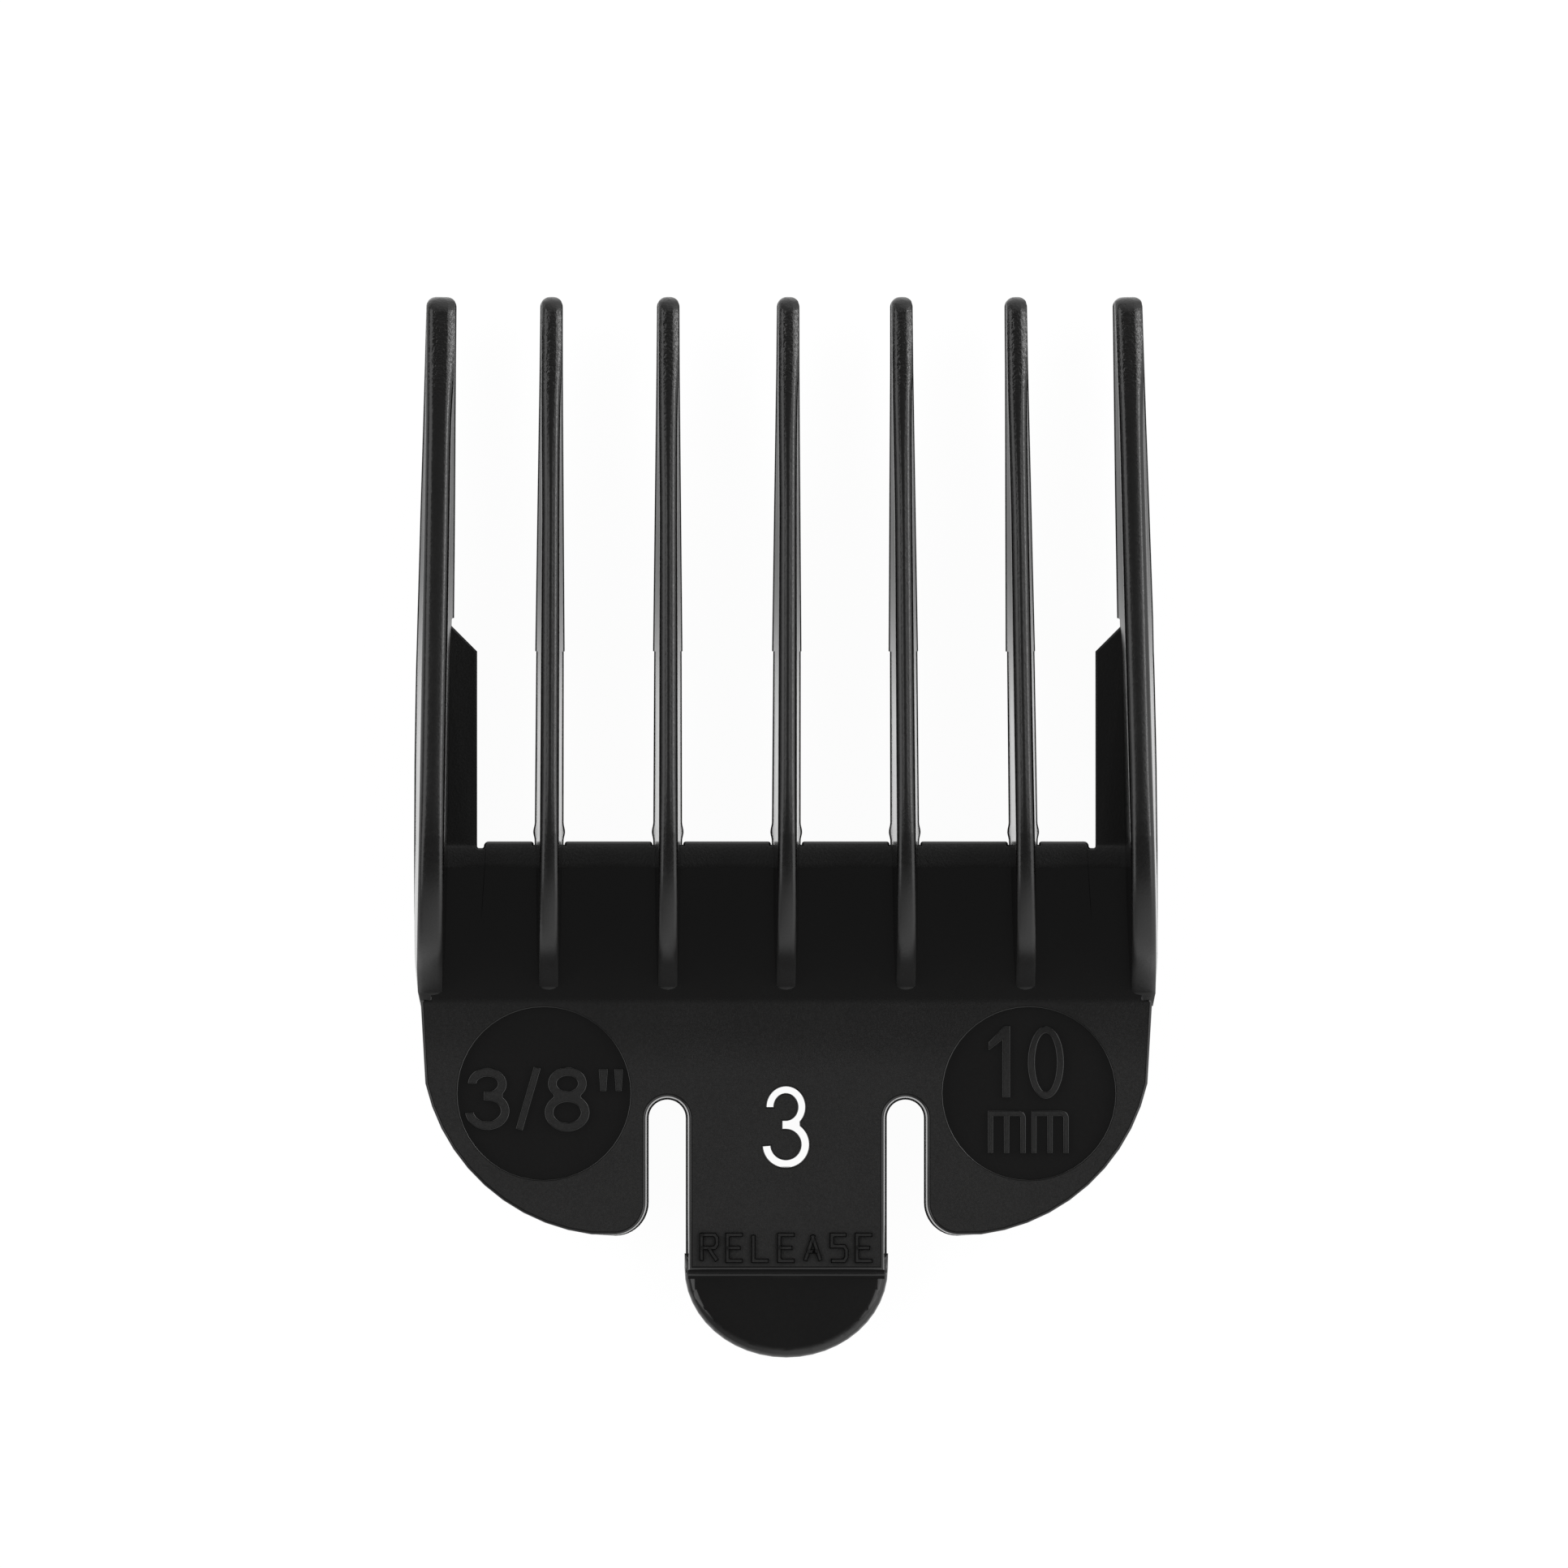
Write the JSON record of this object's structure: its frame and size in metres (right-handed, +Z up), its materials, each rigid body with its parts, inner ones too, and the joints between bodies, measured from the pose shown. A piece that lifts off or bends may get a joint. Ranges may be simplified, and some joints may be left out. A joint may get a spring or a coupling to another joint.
{
  "type": "clipper guard comb",
  "caption": "Clip-on guard comb for a hair clipper, with tapered ridged teeth, a flat plate with round lobes and a flexing release tongue.",
  "frame": {"origin": "under the middle of the comb's bounding box, on the surface that its side walls stand on", "axes": "+Z up from the blade side to the ridges that lie on the skin, +Y along the teeth to their tips, +X to the right seen from the ridge side with the tips up"},
  "size_m": [0.045, 0.064, 0.0145],
  "materials": {
    "textured_plastic": "fine spark-eroded texture, black",
    "polished_plastic": "polished, black"
  },
  "bodies": {
    "comb_body": {"base_plate": "textured_plastic", "comb_web": "polished_plastic", "tooth_1": "polished_plastic", "tooth_2": "polished_plastic", "tooth_3": "polished_plastic", "tooth_4": "polished_plastic", "tooth_5": "polished_plastic", "tooth_outer_left": "polished_plastic", "tooth_outer_right": "polished_plastic", "side_wall_left": "polished_plastic", "side_wall_right": "polished_plastic", "blade_rail_left": "polished_plastic", "blade_rail_right": "polished_plastic", "size_figures_left": "textured_plastic", "size_figures_right": "textured_plastic"},
    "release_arm": {"release_tongue": "textured_plastic", "thumb_lip": "polished_plastic", "heel_catch": "polished_plastic", "release_word": "textured_plastic"}
  },
  "joints": [
    {"name": "tongue_flex", "type": "hinge", "parent": "comb_body", "child": "release_arm", "pos_m": [0, -0.0151, 0.0048], "axis": [-1, 0, 0], "range_deg": [-3, 10], "stiffness_Nm_per_rad": 0.8}
  ]
}
